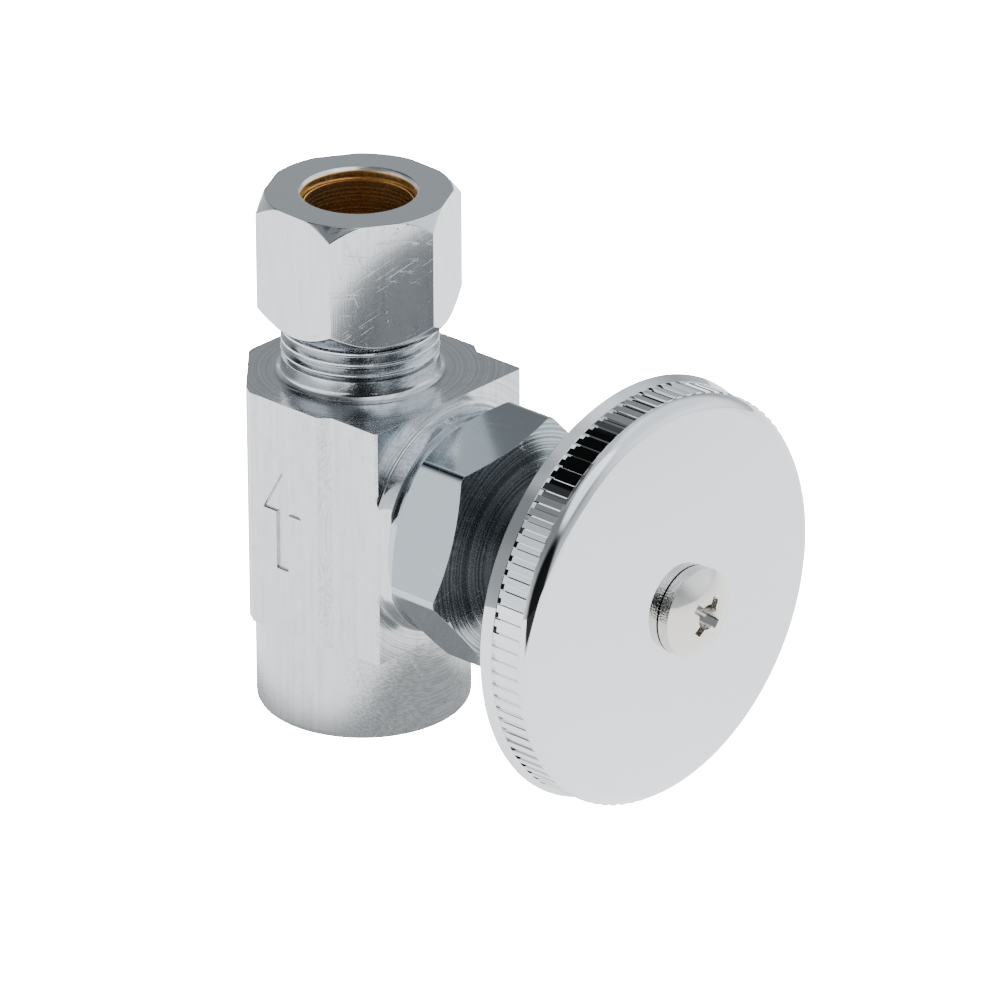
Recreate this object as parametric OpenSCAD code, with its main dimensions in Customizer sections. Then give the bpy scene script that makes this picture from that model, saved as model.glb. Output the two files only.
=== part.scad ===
// Straight-pattern compression stop valve, millimetres, +Z up.
// Origin: centre of the inlet socket's mouth. Z runs from the inlet up to the outlet,
// the handle faces -Y. Distances called "reach" are measured along -Y from the flow axis.

/* [Inlet socket] */
// outside diameter of the copper tube that is soldered into the socket
pipe_od = 15.875; // [15:0.005:19.1]
// radial capillary gap between tube and socket
pipe_gap = 0.07; // [0.05:0.01:0.12]
// depth from the socket mouth to the tube stop
socket_depth = 12.7; // [11:0.1:15.3]
// wall of the socket
socket_wall = 1.7925; // [1.4:0.0005:2.2]
// rounding of the socket's outer bottom edge
socket_edge = 0.8; // [0.4:0.1:1.2]

/* [Body bar] */
// wall between the end of the socket and the seat chamber
floor_wall = 1.9; // [1.2:0.1:3]
// height of the bar, centred on the handle axis
bar_height = 22.7; // [21:0.1:27.3]
// wall beside the bonnet thread
bar_wall = 1.4; // [1.3:0.05:2.5]
// extra half width of the wider rear part
bar_step = 0.85; // [0.3:0.05:1.5]
// wall behind the inlet passage
rear_wall = 2.6; // [1.5:0.1:4]
// distance of the handle-side face in front of the flow axis
bar_front = 10.8; // [10.2:0.1:13]
// 45 degree chamfer on the two rear corners
bar_rear_chamfer = 5.6; // [4.5:0.1:6]
// rounding of the handle-side vertical corners
bar_corner = 0.25; // [0.15:0.05:1.2]
// wall of the turned boss round the bonnet thread
boss_wall = 2.25; // [1.9:0.05:2.6]
// length of the boss in front of the bar
boss_length = 1.75; // [1.2:0.05:3]
// concave fillet between bar and boss
boss_fillet = 0.3; // [0.2:0.1:0.8]
// depth of the stamped flow arrow
arrow_depth = 0.25; // [0.1:0.05:0.5]

/* [Outlet] */
// outside diameter of the compression tube
tube_od = 9.525; // [7.9:0.005:11.5]
// radial clearance of the tube in body, ferrule and nut
tube_gap = 0.09; // [0.05:0.01:0.12]
// wall of the outlet neck at its mouth
neck_wall = 1.395; // [1.2:0.005:2]
// length of the outlet neck above the bar
neck_length = 10.85; // [9:0.05:13.1]
// length of tube inside the neck
tube_depth = 7.4; // [6:0.1:9]
// concave fillet where the neck leaves the bar
neck_fillet = 0.8; // [0.3:0.1:1]
// pitch of the outlet thread
outlet_pitch = 1.058; // [0.9:0.001:1.2]
// wall of the ferrule
ferrule_wall = 0.8; // [0.6:0.05:1.1]
// length of the ferrule
ferrule_length = 6.35; // [5.2:0.05:7.7]
// free travel left before the ferrule seats in the neck
ferrule_free = 0.5; // [0.3:0.05:0.8]

/* [Compression nut] */
// wall of the nut beside its thread, at the flats
nut_wall = 0.995; // [0.8:0.005:2]
// length of the nut
nut_length = 11.9; // [10:0.1:14.3]
// thickness of the nut's end above the ferrule
nut_lip = 1.15; // [0.8:0.05:2]
// turn of the hexagon about the flow axis, degrees
nut_clock = 27; // [0:1:60]
// radial running clearance of the nut thread
nut_run = 0.06; // [0.02:0.01:0.1]

/* [Bonnet] */
// wall of the bonnet's threaded end
bonnet_wall = 2.3; // [1.8:0.1:3.2]
// overhang of the hexagon's flats over the bonnet thread
hex_overhang = 2.12; // [1.9:0.01:3]
// turn of the bonnet hexagon about the handle axis, degrees
bonnet_clock = 10; // [0:1:60]
// length of the threaded end inside the boss
spigot_length = 6.95; // [5.5:0.05:7.5]
// distance from the boss end to the hexagon's rear corners
hex_gap = 2.05; // [1.2:0.05:3]
// width of the hexagon between its rear and front corners
hex_width = 4.6; // [3.8:0.1:6]
// slope of the turned front face, degrees
front_slope = 24; // [12:1:28]
// distance from the hexagon's front corners to the neck's end
neck_reach = 6.8; // [5.7:0.1:8.2]
// wall of the bonnet neck that carries the stem seals
neck_tube_wall = 1.5; // [1:0.1:2]

/* [Stem] */
// diameter of the stem's smooth shaft
shaft_dia = 7.1; // [5.9:0.05:8.6]
// step from the shaft to the stem's lifting thread
lift_step = 0.85; // [0.6:0.05:1.1]
// step from the lifting thread to the washer cup
cup_step = 1; // [0.8:0.1:1.4]
// radial running clearance round the stem
stem_run = 0.05; // [0.02:0.01:0.1]
// how much narrower than the shaft the square that drives the handle is, across its flats
square_step = 2.1; // [1.8:0.1:2.6]
// distance the stem moves from closed to open
stem_travel = 3.81; // [2.5:0.01:3.9]
// diameter of the flow hole in the seat
seat_hole = 5.6; // [5:0.1:6]
// thickness of the seat washer
seat_washer_thick = 2.2; // [1.8:0.1:2.4]

/* [Handle] */
// diameter over the ribs
rib_dia = 37.94; // [31.6:0.01:45.6]
// rise of the plain rear bead over the ribs
bead_rise = 0.49; // [0.1:0.01:0.9]
// number of ribs round the rim
rib_count = 93; // [48:1:120]
// depth of the pockets between the ribs
pocket_depth = 0.2; // [0.1:0.01:0.4]
// share of the pitch taken by a rib
rib_share = 0.5; // [0.2:0.05:0.7]
// turn of the ribs about the handle axis, degrees
rib_clock = 2.46; // [0:0.01:4]
// distance from the bonnet's end to the handle's rear edge
handle_gap = 5.8; // [4.8:0.1:7]
// width of the plain rear bead
bead_width = 1.25; // [0.8:0.05:1.6]
// width of the ribbed band
band_width = 2.95; // [2:0.05:3.6]
// width of the rim in front of the ribbed band
lip_width = 1.3; // [1:0.05:2]
// rounding between the rim and the front face
handle_edge = 1.75; // [1.5:0.05:2.1]
// radius of the crowned front face
crown_r = 85; // [60:1:200]
// wall of the rim and of the hub
handle_wall = 1.1; // [0.8:0.1:2]

/* [Handle screw] */
// diameter of the screw head
screw_head = 8.2; // [7.2:0.1:9.8]
// height of the head's straight edge
screw_edge = 1.05; // [0.6:0.05:1.4]
// rise of the head's domed top
screw_dome = 1.25; // [0.9:0.05:1.6]
// diameter of the screw thread
screw_thread = 3.6; // [2.9:0.1:4]
// turn of the cross recess, degrees
cross_clock = 48; // [0:1:90]

/* [Hidden] */
eps = 0.01;
round_fn = 96;
fine_fn = 48;
cap_fn = 1800;
// play between pieces that are pressed or screwed together
fit_gap = 0.03;
// play round the seat washer, the gasket and the rings
seal_gap = 0.02;

// stem, from the shaft outwards
shaft_r = shaft_dia / 2;
lift_r = shaft_r + lift_step;
cup_r = lift_r + cup_step;
cup_wall = 0.6;
washer_r = cup_r - cup_wall - 0.1;
seat_ring_r = washer_r - 0.1;
seat_r = seat_hole / 2;
seat_y = 1;
washer_front = seat_washer_thick - seat_y;
cup_front = washer_front + 1.6;
seat_screw_r = 1.5;
square_flats = shaft_dia - square_step;
square_gap = 0.04;

// chamber, seat and passages in the body
chamber_r = cup_r + 1.2;
chamber_floor = seat_y + 1.2;
hole_r = 2.4;
inlet_hole_y = chamber_floor + 0.6 + hole_r;
axis_z = socket_depth + floor_wall + chamber_r;

// inlet socket and bar
pipe_r = pipe_od / 2 + pipe_gap;
socket_r = pipe_r + socket_wall;
bar_bottom = axis_z - bar_height / 2;
bar_top = axis_z + bar_height / 2;
bar_rear = inlet_hole_y + hole_r + rear_wall;

// bonnet
relief_r = cup_r + 0.5;
bonnet_thread_r = relief_r + bonnet_wall;
bar_half_front = bonnet_thread_r + bar_wall;
bar_half_rear = bar_half_front + bar_step;
boss_r = bonnet_thread_r + boss_wall;
boss_reach = bar_front + boss_length;
spigot_reach = boss_reach - spigot_length;
relief_reach = spigot_reach + 1.4;
collar_r = boss_r - 0.35;
collar_reach = boss_reach + 0.75;
hex_rear = boss_reach + hex_gap;
hex_front = hex_rear + hex_width;
hex_r = (bonnet_thread_r + hex_overhang) / cos(30);
bonnet_reach = hex_front + neck_reach;
neck_r = shaft_r + stem_run + neck_tube_wall;
thrust_reach = hex_rear;
thrust_thick = 0.6;
lift_end = thrust_reach - thrust_thick - stem_travel - 0.1;
oring_reach = [hex_rear + 2, hex_front + 0.2];
oring_groove_r = shaft_r - 1.1;
oring_width = 1.6;

// bonnet gasket, in a step of the boss
gasket_width = 1.2;
gasket_r = bonnet_thread_r + gasket_width;
gasket_thick = 0.8;

// outlet, ferrule and nut
tube_r = tube_od / 2 + tube_gap;
taper = 1.5;
ferrule_r = tube_r + ferrule_wall;
tip_r = tube_r + 0.12;
cone_r = ferrule_r + 0.1;
outlet_r = cone_r + neck_wall;
thread_depth = 0.6 * outlet_pitch;
neck_top = bar_top + neck_length;
tube_stop = neck_top - tube_depth;
outlet_hole_y = hole_r + 0.15 - tube_r;
ferrule_seat = neck_top - taper * (cone_r - tube_r) / (ferrule_r - tip_r);
ferrule_bottom = neck_top - taper + ferrule_free;
ferrule_top = ferrule_bottom + ferrule_length;
nut_bore_r = outlet_r + nut_run;
nut_flat_r = nut_bore_r + nut_wall;
nut_corner_r = nut_flat_r / cos(30);
nut_top = ferrule_top + nut_lip;
nut_bottom = nut_top - nut_length;

// handle
handle_rear = bonnet_reach + handle_gap;
band_from = handle_rear + bead_width;
band_to = band_from + band_width;
rib_r = rib_dia / 2;
bead_r = rib_r + bead_rise;
floor_r = rib_r - pocket_depth;
cavity_r = floor_r - handle_wall;
cavity_end = band_to - 0.2;
edge_c = rib_r - handle_edge;
edge_reach = band_to + lip_width - handle_edge;
crown_c = edge_reach - sqrt(pow(crown_r - handle_edge, 2) - pow(edge_c, 2));
crown_edge = edge_c * crown_r / (crown_r - handle_edge);
handle_top = crown_c + crown_r;
square_corner = (square_flats / 2 + square_gap) / cos(45);
hub_r = square_corner + 2;
shaft_end = handle_rear - 3.4;
stem_end = cavity_end - 0.3;

// handle screw
screw_r = screw_thread / 2;
head_r = screw_head / 2;
head_side = handle_top + screw_edge;
head_top = head_side + screw_dome;

// everything on the handle axis: local +Z becomes the reach along -Y
module on_stem_axis() {
    translate([0, 0, axis_z])
        rotate([90, 0, 0])
            children();
}

module ring(outer, inner, from, to) {
    translate([0, 0, from])
        difference() {
            cylinder(h = to - from, r = outer, $fn = round_fn);
            translate([0, 0, -eps])
                cylinder(h = to - from + 2 * eps, r = inner, $fn = round_fn);
        }
}

// half section of a small root flare, from a wall at x = 0 down to a floor at y = 0
module flare(size) {
    polygon([
        [-1, -0.5], [size, -0.5], [size, 0], [0.5 * size, 0.13 * size],
        [0.13 * size, 0.5 * size], [0, size], [-1, size]
    ]);
}

// the bar's section: wider behind, chamfered and slightly rolled at the rear corners
module bar_outline() {
    side = bar_rear - bar_rear_chamfer;
    step_front = -bar_front / 2;
    step_rear = step_front + 1.1;
    roll = 0.8;
    corner = bar_half_rear - bar_rear_chamfer;
    polygon([
        [-bar_half_front, -bar_front + bar_corner],
        [-bar_half_front, step_front],
        [-bar_half_rear, step_rear],
        [-bar_half_rear, side - roll],
        [-bar_half_rear + roll, side + roll / 2],
        [-corner + roll, bar_rear - roll / 4],
        [-corner + 1.75 * roll, bar_rear],
        [corner - 1.75 * roll, bar_rear],
        [corner - roll, bar_rear - roll / 4],
        [bar_half_rear - roll, side + roll / 2],
        [bar_half_rear, side - roll],
        [bar_half_rear, step_rear],
        [bar_half_front, step_front],
        [bar_half_front, -bar_front + bar_corner],
        [bar_half_front - bar_corner, -bar_front],
        [-bar_half_front + bar_corner, -bar_front]
    ]);
}

module bar() {
    translate([0, 0, bar_bottom])
        linear_extrude(height = bar_top - bar_bottom)
            bar_outline();
}

// turned boss with its fillet, limited by the side faces of the bar
module boss() {
    intersection() {
        on_stem_axis()
            rotate_extrude($fn = round_fn)
                union() {
                    square([boss_r, boss_reach]);
                    translate([boss_r, bar_front])
                        flare(boss_fillet);
                }
        translate([-bar_half_front, -boss_reach - 1, bar_bottom])
            cube([2 * bar_half_front, boss_reach + 1, bar_top - bar_bottom]);
    }
}

module socket() {
    rotate_extrude($fn = round_fn)
        union() {
            translate([0, socket_edge])
                square([socket_r, bar_bottom + 1]);
            square([socket_r - socket_edge, bar_bottom]);
            translate([socket_r - socket_edge, socket_edge])
                circle(r = socket_edge, $fn = fine_fn);
        }
}

// ring-shaped thread profile of the outlet, crests flattened
module outlet_thread() {
    turns = floor((neck_top - bar_top - 1.6) / outlet_pitch);
    start = neck_top - 0.6 - turns * outlet_pitch;
    root = outlet_r - thread_depth;
    rotate_extrude($fn = round_fn)
        union() {
            translate([0, bar_top - 1])
                square([root, neck_top - bar_top + 1]);
            translate([0, bar_top - 1])
                square([outlet_r, start - bar_top + 1]);
            translate([outlet_r, bar_top])
                flare(neck_fillet);
            for (i = [0:turns - 1])
                translate([0, start + i * outlet_pitch])
                    polygon([
                        [root - 0.1, 0.08 * outlet_pitch],
                        [root, 0.08 * outlet_pitch],
                        [outlet_r, 0.44 * outlet_pitch],
                        [outlet_r, 0.64 * outlet_pitch],
                        [root, 1.0 * outlet_pitch],
                        [root - 0.1, 1.0 * outlet_pitch]
                    ]);
        }
}

module flow_arrow() {
    translate([-bar_half_rear + arrow_depth, 0, axis_z])
        rotate([90, 0, -90])
            linear_extrude(height = arrow_depth + 1)
                polygon([
                    [-0.7, -5], [0.7, -5], [0.7, 0.6], [2.3, 0.6],
                    [0, 4.6], [-2.3, 0.6], [-0.7, 0.6]
                ]);
}

module flow_passages() {
    // solder socket
    translate([0, 0, -eps])
        cylinder(h = socket_depth + eps, r = pipe_r, $fn = round_fn);
    // passage from the socket to the seat
    translate([0, inlet_hole_y, socket_depth - 1])
        cylinder(h = axis_z - socket_depth + 1, r = hole_r, $fn = fine_fn);
    on_stem_axis() {
        translate([0, 0, -inlet_hole_y - hole_r - 0.4])
            cylinder(h = inlet_hole_y + hole_r + spigot_reach, r = seat_r, $fn = fine_fn);
        difference() {
            translate([0, 0, -chamber_floor])
                cylinder(h = chamber_floor + spigot_reach, r = chamber_r, $fn = round_fn);
            translate([0, 0, -chamber_floor - 1])
                cylinder(h = chamber_floor + 1 - seat_y, r = seat_ring_r, $fn = round_fn);
        }
        translate([0, 0, spigot_reach - 0.4])
            cylinder(h = boss_reach, r = bonnet_thread_r + fit_gap, $fn = round_fn);
        translate([0, 0, boss_reach - gasket_thick])
            cylinder(h = gasket_thick + 1, r = gasket_r, $fn = round_fn);
    }
    // passage from the chamber to the outlet
    translate([0, outlet_hole_y, axis_z + 5])
        cylinder(h = tube_stop - axis_z - 4, r = hole_r, $fn = fine_fn);
    translate([0, 0, tube_stop])
        cylinder(h = neck_top - tube_stop + 1, r = tube_r, $fn = round_fn);
    // cone that the ferrule is squeezed into
    translate([0, 0, ferrule_seat])
        cylinder(h = neck_top - ferrule_seat + eps, r1 = tube_r, r2 = cone_r, $fn = round_fn);
}

module valve_body() {
    color([0.78, 0.79, 0.81])
        difference() {
            union() {
                socket();
                bar();
                boss();
                outlet_thread();
            }
            flow_passages();
            flow_arrow();
        }
}

// a short sleeve tapered at both ends
module ferrule() {
    color([0.80, 0.62, 0.30])
        rotate_extrude($fn = round_fn)
            polygon([
                [tube_r, ferrule_bottom],
                [tip_r, ferrule_bottom],
                [ferrule_r, ferrule_bottom + taper],
                [ferrule_r, ferrule_top - taper],
                [tip_r, ferrule_top],
                [tube_r, ferrule_top]
            ]);
}

module compression_nut() {
    mouth = 0.6;
    color([0.79, 0.80, 0.82])
        difference() {
            intersection() {
                rotate([0, 0, nut_clock])
                    translate([0, 0, nut_bottom])
                        cylinder(h = nut_length, r = nut_corner_r, $fn = 6);
                rotate_extrude($fn = round_fn)
                    polygon([
                        [0, nut_bottom],
                        [nut_flat_r - 0.1, nut_bottom],
                        [nut_corner_r + 0.1, nut_bottom + 1.7],
                        [nut_corner_r + 0.1, nut_top - 1.4],
                        [nut_flat_r + 0.2, nut_top],
                        [0, nut_top]
                    ]);
            }
            rotate_extrude($fn = round_fn)
                polygon([
                    [0, nut_bottom - 1],
                    [nut_bore_r + mouth, nut_bottom - 1],
                    [nut_bore_r + mouth, nut_bottom],
                    [nut_bore_r, nut_bottom + mouth],
                    [nut_bore_r, ferrule_top - taper - mouth],
                    [ferrule_r + 0.1, ferrule_top - taper - 0.1],
                    [ferrule_r + 0.1, ferrule_top - taper],
                    [tip_r + 0.1, ferrule_top],
                    [tip_r + 0.1, nut_top - 0.35],
                    [tip_r + 0.36, nut_top],
                    [tip_r + 0.36, nut_top + 1],
                    [0, nut_top + 1]
                ]);
        }
}

module bonnet() {
    drop = (hex_r - neck_r) * tan(front_slope);
    color([0.76, 0.77, 0.79])
        on_stem_axis()
            difference() {
                union() {
                    intersection() {
                        rotate([0, 0, bonnet_clock])
                            translate([0, 0, boss_reach])
                                cylinder(h = hex_front + drop - boss_reach + 1, r = hex_r, $fn = 6);
                        rotate_extrude($fn = round_fn)
                            polygon([
                                [0, boss_reach],
                                [collar_r, boss_reach],
                                [collar_r, collar_reach],
                                [hex_r + 0.1, hex_rear],
                                [hex_r + 0.1, hex_front],
                                [neck_r, hex_front + drop],
                                [0, hex_front + drop]
                            ]);
                    }
                    rotate_extrude($fn = round_fn)
                        polygon([
                            [0, spigot_reach],
                            [bonnet_thread_r - 0.5, spigot_reach],
                            [bonnet_thread_r, spigot_reach + 0.5],
                            [bonnet_thread_r, boss_reach + 1],
                            [neck_r, boss_reach + 1],
                            [neck_r, bonnet_reach - 0.6],
                            [neck_r - 0.6, bonnet_reach],
                            [0, bonnet_reach]
                        ]);
                }
                translate([0, 0, spigot_reach - 1])
                    cylinder(h = relief_reach - spigot_reach + 1, r = relief_r, $fn = round_fn);
                translate([0, 0, relief_reach - eps])
                    cylinder(h = thrust_reach - relief_reach + eps, r = lift_r + stem_run, $fn = round_fn);
                translate([0, 0, thrust_reach - eps])
                    cylinder(h = bonnet_reach, r = shaft_r + stem_run, $fn = round_fn);
            }
}

module bonnet_gasket() {
    color([0.55, 0.28, 0.20])
        on_stem_axis()
            ring(gasket_r - seal_gap, bonnet_thread_r + 0.05, boss_reach - gasket_thick, boss_reach);
}

module thrust_washer() {
    color([0.92, 0.92, 0.88])
        on_stem_axis()
            ring(lift_r, shaft_r + stem_run + 0.05, thrust_reach - thrust_thick, thrust_reach);
}

module stem() {
    square_r = square_flats / 2 / cos(45);
    groove = oring_width / 2;
    color([0.78, 0.62, 0.34])
        on_stem_axis()
            difference() {
                union() {
                    translate([0, 0, washer_front - 1])
                        cylinder(h = cup_front - washer_front + 1, r = cup_r, $fn = round_fn);
                    translate([0, 0, cup_front - 1])
                        cylinder(h = lift_end - cup_front + 1, r = lift_r, $fn = round_fn);
                    translate([0, 0, cup_front - 1])
                        cylinder(h = shaft_end - cup_front + 1, r = shaft_r, $fn = round_fn);
                    intersection() {
                        translate([0, 0, shaft_end - 1])
                            rotate([0, 0, 45])
                                cylinder(h = stem_end - shaft_end + 1, r = square_r, $fn = 4);
                        translate([0, 0, shaft_end - 1])
                            cylinder(h = stem_end - shaft_end + 1, r = shaft_r - 0.2, $fn = round_fn);
                    }
                }
                translate([0, 0, washer_front - 2])
                    cylinder(h = 2, r = cup_r - cup_wall, $fn = round_fn);
                translate([0, 0, washer_front - 1])
                    cylinder(h = 6.5, r = seat_screw_r, $fn = fine_fn);
                translate([0, 0, stem_end - 8])
                    cylinder(h = 9, r = screw_r, $fn = fine_fn);
                for (reach = oring_reach)
                    ring(shaft_r + 1, oring_groove_r, reach - groove, reach + groove);
            }
}

module stem_o_rings() {
    middle = (oring_groove_r + shaft_r + stem_run) / 2;
    color([0.10, 0.10, 0.11])
        on_stem_axis()
            for (reach = oring_reach)
                translate([0, 0, reach])
                    rotate_extrude($fn = round_fn)
                        translate([middle, 0])
                            circle(r = middle - oring_groove_r - seal_gap, $fn = fine_fn);
}

module seat_washer() {
    color([0.12, 0.12, 0.13])
        on_stem_axis()
            ring(washer_r, seat_screw_r + 0.1, -seat_y + seal_gap, washer_front - seal_gap);
}

module seat_washer_screw() {
    color([0.80, 0.64, 0.34])
        on_stem_axis()
            difference() {
                union() {
                    translate([0, 0, -seat_y - 1.2])
                        cylinder(h = 1.2, r = seat_r - 0.4, $fn = fine_fn);
                    translate([0, 0, -seat_y - 0.2])
                        cylinder(h = 6.2, r = seat_screw_r - seal_gap, $fn = fine_fn);
                }
                translate([-4, -0.35, -seat_y - 2])
                    cube([8, 0.7, 1.4]);
            }
}

// one closed outline of the ribbed band, ribs standing on the pocket floor
module rib_outline() {
    pitch = 360 / rib_count;
    half = pitch * rib_share / 2;
    polygon([
        for (i = [0:rib_count - 1], k = [0:3])
            let (
                a = rib_clock + i * pitch + [-half, half, half + 0.25, pitch - half - 0.25][k],
                r = k < 2 ? rib_r : floor_r
            )
            [r * cos(a), r * sin(a)]
    ]);
}

// half section of the handle's rim and crowned front, before it is hollowed
module handle_profile() {
    bead_edge = 0.35;
    bead_lip = 0.05;
    polygon([
        [0, handle_rear],
        [bead_r - bead_edge, handle_rear],
        [bead_r, handle_rear + bead_edge],
        [rib_r + bead_lip, band_from],
        [floor_r, band_from],
        [floor_r, band_to],
        [0, band_to]
    ]);
    intersection() {
        translate([0, crown_c])
            circle(r = crown_r, $fn = cap_fn);
        union() {
            translate([0, band_to - 0.1])
                square([crown_edge, handle_top - band_to + 1]);
            intersection() {
                translate([edge_c, edge_reach + 0.003])
                    circle(r = handle_edge, $fn = round_fn);
                translate([edge_c - 1, band_to])
                    square([rib_r, handle_edge + 1]);
            }
        }
    }
}

module handle_wheel() {
    color([0.88, 0.88, 0.90])
        on_stem_axis()
            difference() {
                union() {
                    rotate_extrude($fn = round_fn)
                        handle_profile();
                    translate([0, 0, band_from - 0.2])
                        linear_extrude(height = band_width + 0.3)
                            rib_outline();
                }
                difference() {
                    translate([0, 0, handle_rear - 1])
                        cylinder(h = cavity_end - handle_rear + 1, r = cavity_r, $fn = round_fn);
                    translate([0, 0, handle_rear - 2])
                        cylinder(h = cavity_end - handle_rear + 4, r = hub_r, $fn = round_fn);
                }
                translate([0, 0, handle_rear - 2])
                    rotate([0, 0, 45])
                        cylinder(h = stem_end - handle_rear + 2.2, r = square_corner, $fn = 4);
                translate([0, 0, stem_end - 1])
                    cylinder(h = handle_top - stem_end + 2, r = screw_r + 0.15, $fn = fine_fn);
            }
}

module handle_screw() {
    dome_r = (head_r * head_r + screw_dome * screw_dome) / (2 * screw_dome);
    slot = 0.85;
    depth = 2.1;
    color([0.86, 0.86, 0.87])
        on_stem_axis()
            difference() {
                union() {
                    translate([0, 0, stem_end - 6])
                        cylinder(h = head_side - stem_end + 5.5, r = screw_r - fit_gap, $fn = fine_fn);
                    translate([0, 0, handle_top])
                        cylinder(h = screw_edge, r = head_r, $fn = round_fn);
                    intersection() {
                        translate([0, 0, head_top - dome_r])
                            sphere(r = dome_r, $fn = round_fn);
                        translate([0, 0, head_side - eps])
                            cylinder(h = 5, r = head_r, $fn = round_fn);
                    }
                }
                for (turn = [0, 90])
                    rotate([90, 0, cross_clock + turn])
                        translate([0, 0, -slot / 2])
                            linear_extrude(height = slot)
                                polygon([
                                    [-0.7, head_top - depth], [0.7, head_top - depth],
                                    [2.2, head_top + 0.3], [-2.2, head_top + 0.3]
                                ]);
                translate([0, 0, head_top - depth + 0.2])
                    cylinder(h = depth, r1 = 0.5, r2 = 1.3, $fn = fine_fn);
            }
}

valve_body();
compression_nut();
ferrule();
bonnet();
bonnet_gasket();
thrust_washer();
stem();
stem_o_rings();
seat_washer();
seat_washer_screw();
handle_wheel();
handle_screw();
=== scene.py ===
# %% [markdown]
# # A straight stop valve
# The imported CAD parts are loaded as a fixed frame. This lesson adds the camera, a pale studio and
# the finishes: chrome plate over machined brass, mirror plate on the hand wheel, bare turned brass.
# Everything is in metres, so sizes are written in millimetres times MM.

# %% Load the frame
import bpy
import bmesh
import math
from mathutils import Matrix, Vector


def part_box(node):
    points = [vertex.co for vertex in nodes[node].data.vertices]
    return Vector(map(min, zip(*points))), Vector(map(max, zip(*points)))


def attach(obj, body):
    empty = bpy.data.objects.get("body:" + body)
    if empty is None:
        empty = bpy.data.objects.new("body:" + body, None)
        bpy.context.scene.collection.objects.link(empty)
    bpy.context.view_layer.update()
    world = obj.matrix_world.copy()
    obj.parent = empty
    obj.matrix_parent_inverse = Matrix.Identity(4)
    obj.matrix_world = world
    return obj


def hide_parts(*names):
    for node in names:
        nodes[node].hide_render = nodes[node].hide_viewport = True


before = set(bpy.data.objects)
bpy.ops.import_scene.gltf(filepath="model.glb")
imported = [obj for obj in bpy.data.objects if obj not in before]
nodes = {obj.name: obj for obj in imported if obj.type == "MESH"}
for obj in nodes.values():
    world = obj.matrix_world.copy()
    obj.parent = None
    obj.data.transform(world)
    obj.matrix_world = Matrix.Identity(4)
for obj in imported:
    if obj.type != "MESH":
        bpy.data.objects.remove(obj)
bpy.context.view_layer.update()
MM = 0.001

# %% [markdown]
# ## Camera
# A long lens from far away keeps the edges of the bar nearly parallel. The camera's place is worked
# out from the angle it looks from, the point it looks at and its distance.

# %% Camera
AZIMUTH, ELEVATION, ROLL = math.radians(-47.7), math.radians(25.4), math.radians(-0.205)
DISTANCE = 773.155 * MM
TARGET_RIGHT, TARGET_UP = 12.449 * MM, 19.388 * MM
FOCAL_SHARE = 8.568264          # focal length as a share of the picture's width
SENSOR = 36.0

ground_right = Vector((math.cos(AZIMUTH), math.sin(AZIMUTH), 0))
back = Vector((math.sin(AZIMUTH) * math.cos(ELEVATION), -math.cos(AZIMUTH) * math.cos(ELEVATION),
               math.sin(ELEVATION)))
up = back.cross(ground_right)
right = ground_right * math.cos(ROLL) + up * math.sin(ROLL)
up = up * math.cos(ROLL) - ground_right * math.sin(ROLL)
target = ground_right * TARGET_RIGHT + Vector((0, 0, TARGET_UP))

lens = bpy.data.cameras.new("camera")
lens.sensor_width = SENSOR
lens.lens = FOCAL_SHARE * SENSOR
lens.clip_start, lens.clip_end = 0.01, 20
camera = bpy.data.objects.new("camera", lens)
turned = Matrix((right, up, back)).transposed().to_4x4()
camera.matrix_world = Matrix.Translation(target + back * DISTANCE) @ turned
bpy.context.scene.collection.objects.link(camera)
bpy.context.scene.camera = camera
print("camera at", tuple(round(x, 3) for x in camera.location), "lens", round(lens.lens, 1), "mm")

# %% [markdown]
# ## Shader helpers
# Colours are written as hex values, as a paint chart would give them, and turned to the linear
# numbers a shader works with. `add` makes any shader node: each of its sockets gets a number or the
# output it reads, and a node given in place of an output means that node's first output.

# %% Shader helpers
def linear(hex_colour):
    parts = [int(hex_colour[i:i + 2], 16) / 255 for i in (1, 3, 5)]
    return [c / 12.92 if c <= 0.04045 else ((c + 0.055) / 1.055) ** 2.4 for c in parts] + [1.0]


def add(tree, kind, sockets=(), **settings):
    """One shader node, with its sockets in order or by name, and its properties."""
    node = tree.nodes.new("ShaderNode" + kind)
    for key, value in settings.items():
        setattr(node, key, value)
    for key, value in sockets.items() if isinstance(sockets, dict) else enumerate(sockets):
        if isinstance(value, bpy.types.Node):
            value = value.outputs[0]
        if isinstance(value, bpy.types.NodeSocket):
            tree.links.new(value, node.inputs[key])
        else:
            node.inputs[key].default_value = value
    return node


SMOOTH = {"interpolation_type": "SMOOTHSTEP"}   # a MapRange that eases in and out
print("white is", linear("#FFFFFF"))

# %% [markdown]
# ## Studio
# Polished metal only shows what stands around it. A white floor lights the valve from below and carries
# painted shade close under it. A pale wall runs round, the high left corner behind is dark, and so is the
# side the camera stands on.

# %% Floor
FLOOR_GLOW = 1.70               # light the floor gives to the metal
FLOOR_WHITE = 40.0              # what a direct look at the floor shows
DARK_FRONT = 80 * MM            # where the white sheet ends on the camera's side
DARK_WIDTH = 2.2                # how fast the dark front narrows to its sides
SHADED_REACH = 14 * MM          # how far the painted shade under the valve runs towards the handle
SHADE_START, SHADE_END = 9 * MM, 18 * MM    # where that shade starts to fade, and where it ends


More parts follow.
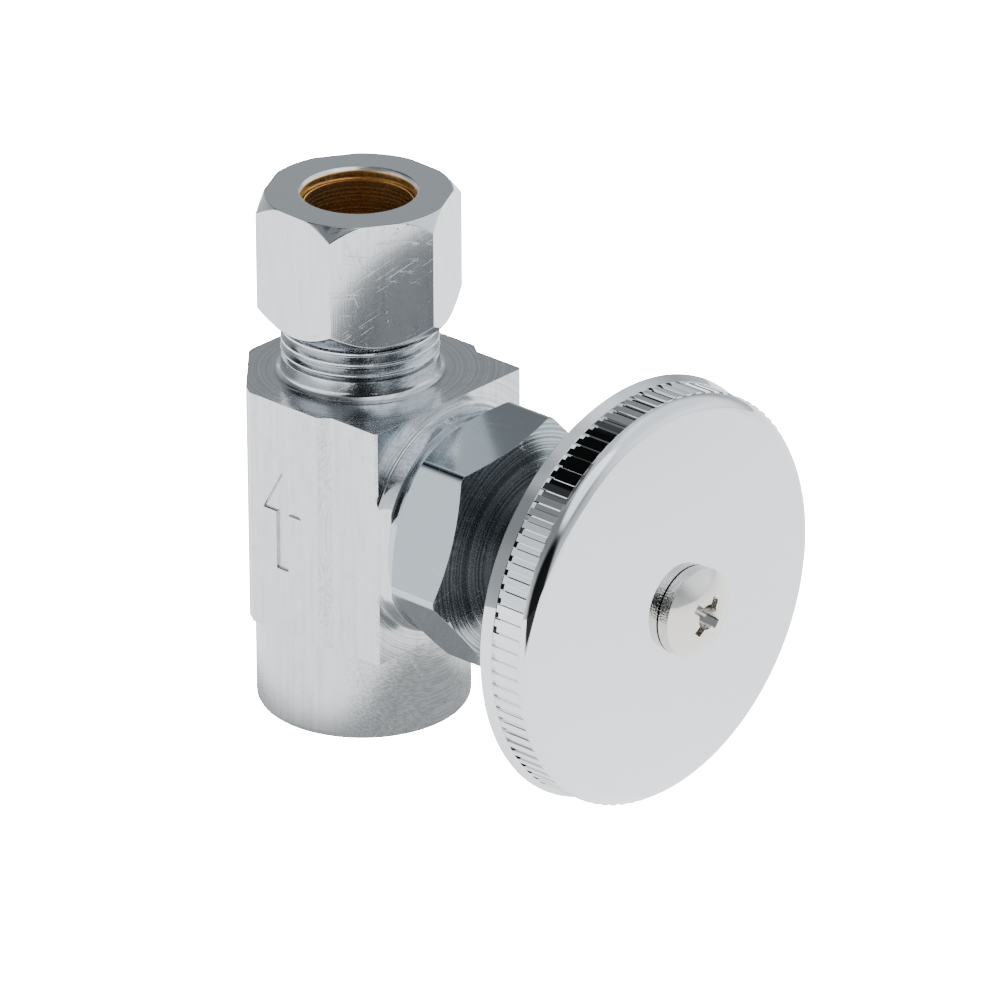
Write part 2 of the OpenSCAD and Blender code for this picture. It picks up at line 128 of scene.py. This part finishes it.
def painted_shade_under(tree, place):
    """Painted shade on the floor round the socket and under the bonnet: the share of light left there, from
    0.3 close under them to 1 further out.
    """
    spot = add(tree, "SeparateXYZ", [place]).outputs
    nearest = add(tree, "Math", [spot["Y"], -SHADED_REACH], operation="MAXIMUM")
    nearest = add(tree, "Math", [nearest, 0.0], operation="MINIMUM")
    past = add(tree, "Math", [spot["Y"], nearest], operation="SUBTRACT")
    away = add(tree, "CombineXYZ", {"X": spot["X"], "Y": past})
    away = add(tree, "VectorMath", [away], operation="LENGTH").outputs["Value"]
    return add(tree, "MapRange", [away, SHADE_START, SHADE_END, 0.30, 1.0], **SMOOTH)


def floor_material():
    mat = bpy.data.materials.new("white_paper")
    mat.use_nodes = True
    tree = mat.node_tree
    bsdf = tree.nodes["Principled BSDF"]
    bsdf.inputs["Roughness"].default_value = 0.9
    bsdf.inputs["Specular IOR Level"].default_value = 0.0
    bsdf.inputs["Emission Color"].default_value = linear("#FFFFFF")
    place = add(tree, "TexCoord").outputs["Object"]
    towards = Vector((back.x, back.y, 0)).normalized()
    ahead = add(tree, "VectorMath", [place, towards], operation="DOT_PRODUCT").outputs["Value"]
    side = add(tree, "VectorMath", [place, ground_right], operation="DOT_PRODUCT").outputs["Value"]
    off = add(tree, "Math", [side], operation="ABSOLUTE")
    off = add(tree, "Math", [off, DARK_WIDTH], operation="MULTIPLY")
    narrow = add(tree, "Math", [ahead, off], operation="SUBTRACT")
    lit = add(tree, "MapRange", [narrow, DARK_FRONT, DARK_FRONT * 1.7, 1.0, 0.02], **SMOOTH)
    # painted shade under the valve darkens the floor's colour and its glow
    lit = add(tree, "Math", [lit, painted_shade_under(tree, place)], operation="MULTIPLY")
    paper = add(tree, "Math", [lit, 0.84], operation="MULTIPLY")
    white = add(tree, "CombineColor", [paper, paper, paper])
    tree.links.new(white.outputs[0], bsdf.inputs["Base Color"])
    right_dim = add(tree, "MapRange", [side, 20 * MM, 400 * MM, 1.0, 0.75], **SMOOTH)
    glow = add(tree, "Math", [lit, right_dim], operation="MULTIPLY")
    glow = add(tree, "Math", [glow, FLOOR_GLOW], operation="MULTIPLY")
    looked_at = add(tree, "LightPath").outputs["Is Camera Ray"]
    strength = add(tree, "Math", [looked_at, FLOOR_WHITE, glow], operation="MULTIPLY_ADD")
    tree.links.new(strength.outputs[0], bsdf.inputs["Emission Strength"])
    return mat


bm = bmesh.new()
bmesh.ops.create_grid(bm, x_segments=1, y_segments=1, size=3.0)
mesh = bpy.data.meshes.new("floor")
bm.to_mesh(mesh)
bm.free()
mesh.materials.append(floor_material())
floor = bpy.data.objects.new("floor", mesh)
bpy.context.scene.collection.objects.link(floor)
print("floor ready")

# %% Walls of the room, as light from each direction
ROOM = [  # direction, half angle of the full patch, half angle where it ends, level
    ((0.66, -0.50, 0.56), 22, 48, 1.3),      # soft box on the handle's side
    ((-0.17, -0.66, 0.73), 14, 26, 1.8),     # small soft box high in front
    ((-0.85, 0.50, 0.10), 24, 40, 0.8),      # bright card on the left
    ((0.00, -0.05, 1.00), 16, 38, 0.7),      # soft box overhead
]
SHADE = [
    ((0.00, 0.61, 0.79), 15, 26, 0.02),      # gap between the boxes, high on the left behind
    ((-0.33, 0.04, 0.94), 9, 18, 0.15),      # gap overhead, towards the left
    ((-0.66, -0.66, 0.06), 22, 36, 0.02),    # dark room on the camera's side
]


def studio_world():
    world = bpy.data.worlds.new("studio")
    bpy.context.scene.world = world
    world.use_nodes = True
    tree = world.node_tree
    tree.nodes.clear()
    way = add(tree, "TexCoord").outputs["Generated"]

    def patch(direction, inner, outer, inside, outside):
        aim = Vector(direction).normalized()
        dot = add(tree, "VectorMath", [way, aim], operation="DOT_PRODUCT").outputs["Value"]
        inner, outer = math.cos(math.radians(inner)), math.cos(math.radians(outer))
        return add(tree, "MapRange", [dot, outer, inner, outside, inside], **SMOOTH)

    height = add(tree, "SeparateXYZ", [way]).outputs["Z"]
    level = add(tree, "MapRange", [height, -0.05, 0.62, 1.0, 0.34], **SMOOTH)
    for *place, value in ROOM:
        level = add(tree, "Math", [level, patch(*place, value, 0.0)], operation="ADD")
    for *place, value in SHADE:
        level = add(tree, "Math", [level, patch(*place, value, 1.0)], operation="MULTIPLY")
    light = add(tree, "Background", {"Color": linear("#EEF4FA"), "Strength": level})
    add(tree, "OutputWorld", {"Surface": light})


studio_world()
print("room:", len(ROOM), "bright patches,", len(SHADE), "dark ones")

# %% [markdown]
# ## Machining marks
# Each mark is a pattern measured in millimetres on the part itself, so it turns with the part.
# Drawn bar has long fine lines, a turned face has rings round its axis, handled plate has thin
# scratches and small pits. Every pattern gives a number near 0 on clean metal and near 1 on a mark.

# %% Patterns
def stretched_noise(tree, place, size, stretch=(1, 1, 1), detail=2.0, turn=(0, 0, 0)):
    """Noise of one grain size in mm, drawn out along the axes where stretch is above 1."""
    scale = tuple(size * MM * s for s in stretch)
    grain = add(tree, "Mapping", {"Vector": place, "Rotation": turn, "Scale": scale}, vector_type="TEXTURE")
    noise = {"Vector": grain, "Scale": 1.0, "Detail": detail, "Roughness": 0.6}
    return add(tree, "TexNoise", noise).outputs["Fac"]


def ring_noise(tree, place, size, axis, centre=(0, 0, 0)):
    """Turning marks: noise that changes with the distance from an axis and along it."""
    moved = add(tree, "VectorMath", [place, centre], operation="SUBTRACT")
    flat = tuple(0.0 if abs(a) > 0.5 else 1.0 for a in axis)
    across = add(tree, "VectorMath", [moved, flat], operation="MULTIPLY")
    radius = add(tree, "VectorMath", [across], operation="LENGTH").outputs["Value"]
    along = add(tree, "VectorMath", [moved, axis], operation="DOT_PRODUCT").outputs["Value"]
    spot = add(tree, "CombineXYZ", [
        add(tree, "Math", [radius, size * MM], operation="DIVIDE"),
        add(tree, "Math", [along, size * MM], operation="DIVIDE")])
    noise = add(tree, "TexNoise", {"Vector": spot, "Scale": 1.0, "Detail": 1.0, "Roughness": 0.5})
    return noise.outputs["Fac"], radius, along


def painted_groove_shade(tree, rings):
    """Painted shade: the dark lines between the turning marks, where the grooves would lie in shade."""
    return add(tree, "MapRange", [rings, 0.36, 0.62, 1.0, 0.0], **SMOOTH)


def scratches(tree, place, size=0.17, length=24):
    """Thin sheets of noise in three directions. Where one cuts the surface it leaves a long line."""
    total = 0.0
    for turn in ((0.5, 0.9, 0.2), (1.1, -0.5, 0.9), (-0.7, 0.3, 1.9)):
        sheet = stretched_noise(tree, place, size, (1, length, length), 0.0, turn)
        line = add(tree, "MapRange", [sheet, 0.70, 0.78, 0.0, 1.0], **SMOOTH)
        total = add(tree, "Math", [line, total], operation="MAXIMUM")
    here = add(tree, "MapRange", [stretched_noise(tree, place, 1.6), 0.40, 0.58, 0.0, 1.0], **SMOOTH)
    return add(tree, "Math", [total, here], operation="MULTIPLY")


def pits(tree, place, size=0.9, radius=0.16):
    """Small round holes in the plate, in groups."""
    cell = add(tree, "TexVoronoi", {"Scale": 1 / (size * MM), "Vector": place}).outputs["Distance"]
    spot = add(tree, "MapRange", [cell, radius * 0.6, radius, 1.0, 0.0], **SMOOTH)
    group = stretched_noise(tree, place, 3.1, detail=3.0)
    here = add(tree, "MapRange", [group, 0.56, 0.66, 0.0, 1.0], **SMOOTH)
    return add(tree, "Math", [spot, here], operation="MULTIPLY")


print("patterns: drawn lines, turning rings, scratches, pits")

# %% [markdown]
# ## Plated metal
# One function makes every metal finish from its plate colour and base roughness. `mark` then lays
# patterns over it, each with a depth in micrometres, a darkening and a roughening.

# %% Metal
MICROMETRE = 1e-6


def mark(look, pattern, where=None, depth=0.0, dark=0.0, rough=0.0):
    """Lays a pattern over a finish, everywhere or only where the number is 1."""
    tree = look["tree"]
    if where is not None:
        pattern = add(tree, "Math", [pattern, where], operation="MULTIPLY")
    if depth:
        look["heights"].append((pattern, depth))
    if dark:
        look["dark"].append(add(tree, "Math", [pattern, dark], operation="MULTIPLY"))
    if rough:
        look["rough"].append(add(tree, "Math", [pattern, rough], operation="MULTIPLY"))


def metal(name, colour, roughness, grain=(0.12, 0.5), worn=0.5, pitted=0.5, ripple=0.0):
    """grain is the noise size in mm and its depth in micrometres."""
    mat = bpy.data.materials.new(name)
    mat.use_nodes = True
    tree = mat.node_tree
    bsdf = tree.nodes["Principled BSDF"]
    bsdf.inputs["Metallic"].default_value = 1.0
    place = add(tree, "TexCoord").outputs["Object"]
    look = {"material": mat, "tree": tree, "bsdf": bsdf, "place": place, "colour": linear(colour),
            "base": roughness, "heights": [], "rough": [], "dark": []}
    mark(look, stretched_noise(tree, place, grain[0], detail=3.0), depth=grain[1], rough=roughness * 0.5)
    if ripple:
        mark(look, stretched_noise(tree, place, 2.4, detail=1.0), depth=ripple)
    if worn:
        mark(look, scratches(tree, place), depth=-1.2 * worn, rough=0.18 * worn)
    if pitted:
        mark(look, pits(tree, place), depth=-8.0 * pitted, dark=0.45 * pitted)
    return look


def finish_metal(look):
    """Sums the heights, roughness and darkening and links them to the surface."""
    tree, bsdf, colour = look["tree"], look["bsdf"], look["colour"]
    height = 0.0
    for value, depth in look["heights"]:
        height = add(tree, "Math", [value, depth * MICROMETRE, height], operation="MULTIPLY_ADD")
    bump = add(tree, "Bump", {"Strength": 1.0, "Distance": 1.0, "Height": height})
    tree.links.new(bump.outputs["Normal"], bsdf.inputs["Normal"])
    rough = look["base"] * 0.75     # the grain adds the other quarter on average
    for value in look["rough"]:
        rough = add(tree, "Math", [value, rough], operation="ADD")
    rough = add(tree, "Math", [rough, 0.02], operation="MAXIMUM")
    tree.links.new(rough.outputs[0], bsdf.inputs["Roughness"])
    for value in look["dark"]:
        keep = add(tree, "Math", [1.0, value], operation="SUBTRACT")
        if isinstance(colour, list):
            colour = colour[:3]
        colour = add(tree, "VectorMath", {0: colour, "Scale": keep}, operation="SCALE")
    if isinstance(colour, list):
        bsdf.inputs["Base Color"].default_value = colour
    else:
        tree.links.new(colour.outputs[0] if isinstance(colour, bpy.types.Node) else colour,
                       bsdf.inputs["Base Color"])
    return look["material"]


def other_colour(look, where, colour, roughness):
    """Shows bare metal where the number is 1: inside a bore, or on an unplated back."""
    blend = {"Factor": where, "A": look["colour"], "B": linear(colour)}
    look["colour"] = add(look["tree"], "Mix", blend, data_type="RGBA").outputs["Result"]
    mark(look, where, rough=roughness - look["base"])


def facing(look, direction, low, high):
    """1 where the part's own surface faces the direction."""
    normal = add(look["tree"], "TexCoord").outputs["Normal"]
    dot = add(look["tree"], "VectorMath", [normal, direction], operation="DOT_PRODUCT").outputs["Value"]
    return add(look["tree"], "MapRange", [dot, low, high, 0.0, 1.0], **SMOOTH)


def not_facing(look, direction, low, high):
    return add(look["tree"], "Math", [1.0, facing(look, direction, low, high)], operation="SUBTRACT")


STEM_AXIS, FLOW_AXIS = (0, -1, 0), (0, 0, 1)
axis_centre = Vector((0, 0, (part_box("bonnet")[0][2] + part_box("bonnet")[1][2]) / 2))
print("stem axis at", round(axis_centre.z / MM, 2), "mm")

# %% [markdown]
# ## Worn edges
# Plating rounds every cut edge a little, and a rounded edge catches a thin line of light. The body,
# the nut and the bonnet are copied from the CAD mesh, joined up, and their sharp edges bevelled. The
# bonnet's hexagon is made from bar with rounded corners, so its six long edges get a wider bevel.

# %% Rounded copies of the cut parts
HEX_ANGLE, SHARP_ANGLE, FACET_ANGLE = 60, math.radians(28), math.radians(8)   # between two faces
JOIN_DISTANCE = 0.002 * MM      # corners this close are one corner


def long_edges(bm, axis):
    """The edges between two flats of a hexagon that lie along the axis."""
    found = []
    for edge in bm.edges:
        if edge.is_manifold and abs(math.degrees(edge.calc_face_angle()) - HEX_ANGLE) < 3:
            line = edge.verts[1].co - edge.verts[0].co
            if line.length > 1.5 * MM and abs(line.normalized().dot(Vector(axis))) > 0.99:
                found.append(edge)
    return found


def bevel(bm, edges, width, segments):
    """Rounds the edges by a width in metres."""
    bmesh.ops.bevel(bm, geom=edges, offset=width, offset_type="OFFSET", segments=segments, profile=0.5,
                    affect="EDGES", clamp_overlap=True, material=-1)


def rounded_copy(node_name, body, width, corner=0.0, axis=(0, 0, 1)):
    """A copy of a CAD node with its edges rounded by width, and its hexagon's corners by corner."""
    bm = bmesh.new()
    bm.from_mesh(nodes[node_name].data)
    bmesh.ops.remove_doubles(bm, verts=bm.verts, dist=JOIN_DISTANCE)
    bmesh.ops.recalc_face_normals(bm, faces=bm.faces)
    bmesh.ops.dissolve_limit(bm, angle_limit=math.radians(0.3), verts=bm.verts, edges=bm.edges)
    if corner:
        ends = {vert for edge in long_edges(bm, axis) for vert in edge.verts}
        near = {v: end for end in ends for v in bm.verts
                if v not in ends and (v.co - end.co).length < corner * 1.2}
        bmesh.ops.weld_verts(bm, targetmap=near)
        corners = long_edges(bm, axis)
        print("rounding", len(corners), "corners of", node_name, "after joining", len(near), "points")
        bevel(bm, corners, corner, 5)
    sharp = [e for e in bm.edges if e.is_manifold and e.calc_face_angle() > SHARP_ANGLE]
    bevel(bm, sharp, width, 2)
    for face in bm.faces:
        face.smooth = True
    for edge in bm.edges:
        if edge.is_manifold:
            angle, area = edge.calc_face_angle(), min(face.calc_area() for face in edge.link_faces)
            edge.smooth = angle < math.radians(32) and not (area > MM * MM and angle > FACET_ANGLE)
    mesh = bpy.data.meshes.new(node_name + "_edges")
    bm.to_mesh(mesh)
    bm.free()
    piece = bpy.data.objects.new(node_name + "_rounded", mesh)
    bpy.context.scene.collection.objects.link(piece)
    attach(piece, body)
    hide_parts(node_name)
    flats = piece.modifiers.new("flats_stay_flat", "WEIGHTED_NORMAL")
    flats.keep_sharp = True
    print(piece.name, len(mesh.polygons), "faces from", len(nodes[node_name].data.polygons))
    return piece


pieces = {
    "valve_body": rounded_copy("valve_body", "valve", 0.05 * MM),
    "compression_nut": rounded_copy("compression_nut", "nut", 0.07 * MM),
    "bonnet": rounded_copy("bonnet", "valve", 0.07 * MM, 0.55 * MM, STEM_AXIS),
}

# %% [markdown]
# ## Body
# The bar is drawn brass, so its long faces carry fine lines and faint streaks along the flow. Its
# handle side, its top face, the neck and the socket are turned. The bores are left unplated so that
# solder wets them.

# %% Body finish
SOCKET_BORE, SOCKET_DEPTH, TUBE_BORE = 8.06 * MM, 12.8 * MM, 5.85 * MM


def body_plate():
    """Chrome plate with a satin look, over drawn and turned brass."""
    look = metal("satin_chrome_on_drawn_brass", "#CED2D5", 0.15, (0.10, 0.35), 0.9, 0.9, ripple=4.0)
    tree, place = look["tree"], look["place"]
    level = not_facing(look, FLOW_AXIS, 0.4, 0.7)
    mark(look, stretched_noise(tree, place, 0.09, (1, 1, 60), 4.0), level, depth=1.3)
    streak = stretched_noise(tree, place, 0.55, (1, 1, 22), 2.0)
    streak = add(tree, "MapRange", [streak, 0.42, 0.78, 0.0, 1.0], **SMOOTH)
    mark(look, streak, level, dark=0.12)
    mark(look, streak, rough=0.07)
    cloudy = stretched_noise(tree, place, 1.1, (1, 1, 1.6), 5.0)
    mark(look, add(tree, "MapRange", [cloudy, 0.45, 0.75, 0.0, 1.0], **SMOOTH), dark=0.10)
    turned, _, _ = ring_noise(tree, place, 0.22, STEM_AXIS, axis_centre)
    front = facing(look, STEM_AXIS, 0.4, 0.7)
    mark(look, turned, front, depth=9.0)
    # painted shade in the grooves between the turning rings on the handle side
    mark(look, painted_groove_shade(tree, turned), front, dark=0.22)
    rings, radius, height = ring_noise(tree, place, 0.22, FLOW_AXIS)
    top = facing(look, FLOW_AXIS, 0.4, 0.7)
    mark(look, rings, top, depth=8.0)
    # painted shade in the grooves between the rings on the top face
    mark(look, painted_groove_shade(tree, rings), top, dark=0.24)
    low = add(tree, "Math", [height, SOCKET_DEPTH], operation="LESS_THAN")
    socket = add(tree, "Math", [radius, SOCKET_BORE], operation="LESS_THAN")
    socket = add(tree, "Math", [socket, low], operation="MULTIPLY")
    high = add(tree, "Math", [height, SOCKET_DEPTH], operation="GREATER_THAN")
    tube = add(tree, "Math", [radius, TUBE_BORE], operation="LESS_THAN")
    tube = add(tree, "Math", [tube, high], operation="MULTIPLY")
    bores = add(tree, "Math", [socket, tube], operation="ADD", use_clamp=True)
    other_colour(look, bores, "#C08A3E", 0.3)
    return finish_metal(look)


def paint(node_name, mat):
    """Puts a finish on every material slot of a node, or of the copy that stands for it."""
    mesh = pieces[node_name].data if node_name in pieces else nodes[node_name].data
    if not mesh.materials:
        mesh.materials.append(mat)
    for i in range(len(mesh.materials)):
        mesh.materials[i] = mat


paint("valve_body", body_plate())
print("body painted")

# %% [markdown]
# ## Compression nut
# Cut from hexagon bar and plated bright outside. Its mouth and thread stay bare brass.

# %% Nut finish
NUT_MOUTH = 5.16 * MM


def nut_plate():
    """Bright chrome plate over hexagon bar, scratched by the spanner."""
    look = metal("bright_chrome_on_hexagon_bar", "#D0D4D6", 0.13, (0.10, 0.3), 0.9, 0.9, ripple=5.0)
    tree, place = look["tree"], look["place"]
    level = not_facing(look, FLOW_AXIS, 0.3, 0.6)
    mark(look, stretched_noise(tree, place, 0.10, (1, 1, 40), 3.0), level, depth=1.8)
    streak = stretched_noise(tree, place, 0.5, (1, 1, 12), 4.0)
    streak = add(tree, "MapRange", [streak, 0.45, 0.75, 0.0, 1.0], **SMOOTH)
    mark(look, streak, level, dark=0.14)
    rings, radius, _ = ring_noise(tree, place, 0.16, FLOW_AXIS)
    mark(look, rings, facing(look, FLOW_AXIS, 0.3, 0.6), depth=2.5)
    mouth = add(tree, "Math", [radius, NUT_MOUTH], operation="LESS_THAN")
    other_colour(look, mouth.outputs[0], "#F0CE9A", 0.30)
    return finish_metal(look)


paint("compression_nut", nut_plate())
print("nut painted")

# %% [markdown]
# ## Bonnet
# The hexagon is bar stock. The sloping front is turned in one pass, which leaves clear rings; the grooves
# between them carry painted shade.

# %% Bonnet finish
def bonnet_plate():
    """Satin chrome over bar, with deep turning marks on the sloping front and painted shade in their
    grooves.
    """
    look = metal("satin_chrome_with_turning_marks", "#B4BBBF", 0.14, (0.10, 0.10), 0.6, 0.5, ripple=3.0)
    tree, place = look["tree"], look["place"]
    rings, _, _ = ring_noise(tree, place, 0.24, STEM_AXIS, axis_centre)
    front = facing(look, STEM_AXIS, 0.3, 0.6)
    mark(look, rings, front, depth=22.0)
    # painted shade in the grooves between the turning rings on the sloping front
    mark(look, painted_groove_shade(tree, rings), front, dark=0.55)
    mark(look, front, rough=0.07)
    drawn = stretched_noise(tree, place, 0.12, (1, 50, 1), 3.0)
    mark(look, drawn, not_facing(look, STEM_AXIS, 0.3, 0.6), depth=1.0)
    return finish_metal(look)


paint("bonnet", bonnet_plate())
print("bonnet painted")

# %% [markdown]
# ## Hand wheel and its screw
# The wheel is die cast, polished and chromed on the outside. Its hollow back only has a thin dull
# plate. The screw has a bright nickel plate with a rough rolled edge.

# %% Wheel and screw finish
def wheel_plate():
    """Mirror chrome outside, dull plate on the hollow back."""
    look = metal("mirror_chrome_on_die_casting", "#DBDDDF", 0.035, (0.25, 0.05), 0.15, 0.0, ripple=1.2)
    other_colour(look, facing(look, (0, 1, 0), 0.2, 0.5), "#6E7073", 0.36)
    return finish_metal(look)


def screw_plate():
    """Bright nickel, rougher round the side of the head."""
    look = metal("bright_nickel_on_steel", "#D2CFCA", 0.09, (0.16, 0.6), 0.4, 0.5)
    rolled = stretched_noise(look["tree"], look["place"], 0.22, detail=2.0)
    mark(look, rolled, not_facing(look, STEM_AXIS, 0.15, 0.5), depth=70.0)
    return finish_metal(look)


paint("handle_wheel", wheel_plate())
paint("handle_screw", screw_plate())
print("wheel and screw painted")

# %% [markdown]
# ## Brass inside, rubber, fibre and nylon
# The ferrule and the stem are turned and left bare. The seals are dull, with a fine moulded grain.

# %% Inner parts
def turned_brass(name, colour, axis, centre):
    """Bare brass with fine rings round its axis, and painted shade in the grooves between them."""
    look = metal(name, colour, 0.32, (0.08, 0.3), 0.2, 0.0)
    rings, _, _ = ring_noise(look["tree"], look["place"], 0.2, axis, centre)
    mark(look, rings, depth=4.0)
    # painted shade in the grooves between the rings
    mark(look, painted_groove_shade(look["tree"], rings), dark=0.3)
    return finish_metal(look)


def dull(name, colour, roughness, grain, depth):
    """A soft or fibrous part: grain is its noise size in mm, depth is in micrometres."""
    mat = bpy.data.materials.new(name)
    mat.use_nodes = True
    tree = mat.node_tree
    bsdf = tree.nodes["Principled BSDF"]
    bsdf.inputs["Base Color"].default_value = linear(colour)
    noise = stretched_noise(tree, add(tree, "TexCoord").outputs["Object"], grain, detail=4.0)
    smooth, coarse = roughness * 0.85, min(1.0, roughness * 1.15)
    rough = add(tree, "MapRange", [noise, 0.2, 0.8, smooth, coarse], **SMOOTH)
    tree.links.new(rough.outputs[0], bsdf.inputs["Roughness"])
    height = add(tree, "Math", [noise, depth * MICROMETRE], operation="MULTIPLY")
    bump = add(tree, "Bump", {"Strength": 1.0, "Distance": 1.0, "Height": height})
    tree.links.new(bump.outputs["Normal"], bsdf.inputs["Normal"])
    return mat


rubber = dull("moulded_rubber", "#161616", 0.6, 0.15, 3.0)
stem_brass = turned_brass("turned_brass_stem", "#CFA35C", STEM_AXIS, axis_centre)
paint("ferrule", turned_brass("turned_brass_ferrule", "#F4D4A0", FLOW_AXIS, (0, 0, 0)))
paint("stem", stem_brass)
paint("seat_washer_screw", stem_brass)
paint("seat_washer", rubber)
paint("stem_o_rings", rubber)
paint("bonnet_gasket", dull("pressed_fibre", "#5A2418", 0.8, 0.3, 12.0))
paint("thrust_washer", dull("natural_nylon", "#E4E2D6", 0.4, 0.2, 2.0))
print("inner parts painted")
